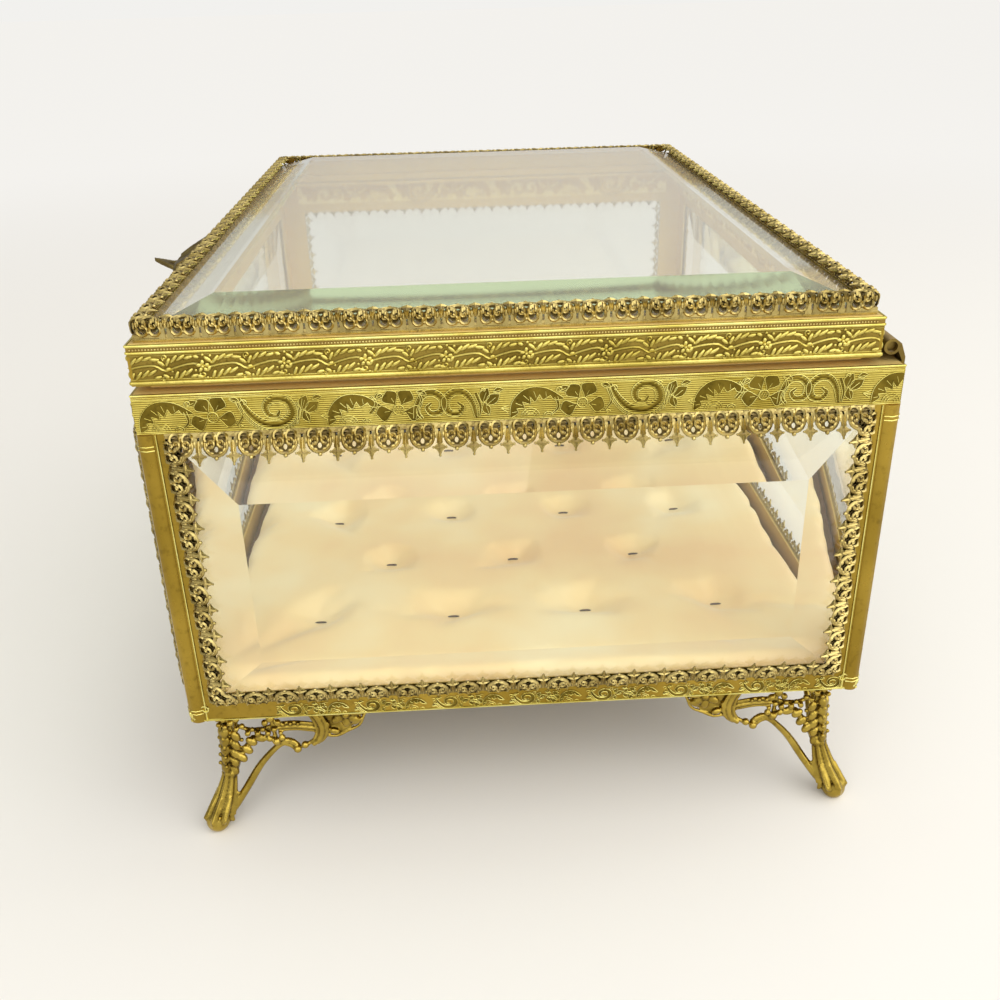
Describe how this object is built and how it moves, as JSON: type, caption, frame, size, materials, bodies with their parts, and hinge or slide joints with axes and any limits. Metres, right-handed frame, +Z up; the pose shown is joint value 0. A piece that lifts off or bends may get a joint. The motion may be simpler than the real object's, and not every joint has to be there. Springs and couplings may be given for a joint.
{
  "type": "glass casket box",
  "caption": "Bevelled glass keepsake casket in gilt brass frames with pierced galleries, a hinged glass lid, a tufted satin pad and openwork corner feet.",
  "frame": {"origin": "on the table, under the middle of the box that the closed casket fills, thumb tab and glass included", "axes": "+X along the box to the right as seen from the thumb tab, +Y to the hinge, +Z up"},
  "size_m": [0.2064, 0.1642, 0.1165],
  "materials": {
    "frame_brass": "gilt, engraved, worn satin",
    "gallery_brass": "gilt, stamped openwork with dark recesses",
    "foot_brass": "gilt casting",
    "hinge_brass": "dull gilt tube and sheet",
    "tab_brass": "gilt casting, tarnished",
    "base_brass": "plain sheet, dull",
    "bevelled_glass": "polished plate glass",
    "pad_satin": "cream satin",
    "tufting_thread": "thread",
    "pad_card": "pasteboard"
  },
  "bodies": {
    "casket": {"frame_front": "frame_brass", "frame_right": "frame_brass", "frame_back": "frame_brass", "frame_left": "frame_brass", "pane_front": "bevelled_glass", "pane_right": "bevelled_glass", "pane_back": "bevelled_glass", "pane_left": "bevelled_glass", "gallery_front_top": "gallery_brass", "gallery_front_bottom": "gallery_brass", "gallery_front_right": "gallery_brass", "gallery_front_left": "gallery_brass", "gallery_right_top": "gallery_brass", "gallery_right_bottom": "gallery_brass", "gallery_right_right": "gallery_brass", "gallery_right_left": "gallery_brass", "gallery_back_top": "gallery_brass", "gallery_back_bottom": "gallery_brass", "gallery_back_right": "gallery_brass", "gallery_back_left": "gallery_brass", "gallery_left_top": "gallery_brass", "gallery_left_bottom": "gallery_brass", "gallery_left_right": "gallery_brass", "gallery_left_left": "gallery_brass", "base_plate": "base_brass", "pad_card": "pad_card", "tufted_pad": "pad_satin", "tuft_stitches": "tufting_thread", "foot_front_left": "foot_brass", "foot_front_right": "foot_brass", "foot_back_left": "foot_brass", "foot_back_right": "foot_brass", "hinge_leaf_body": "hinge_brass", "hinge_pin": "hinge_brass"},
    "lid": {"lid_rail_front": "frame_brass", "lid_rail_right": "frame_brass", "lid_rail_back": "frame_brass", "lid_rail_left": "frame_brass", "lid_gallery_front": "gallery_brass", "lid_gallery_right": "gallery_brass", "lid_gallery_back": "gallery_brass", "lid_gallery_left": "gallery_brass", "lid_glass": "bevelled_glass", "hinge_leaf_lid": "hinge_brass", "thumb_tab": "tab_brass"}
  },
  "joints": [
    {"name": "lid_hinge", "type": "hinge", "parent": "casket", "child": "lid", "pos_m": [0, 0.0748, 0.105], "axis": [-1, 0, 0], "range_deg": [0, 100]}
  ]
}
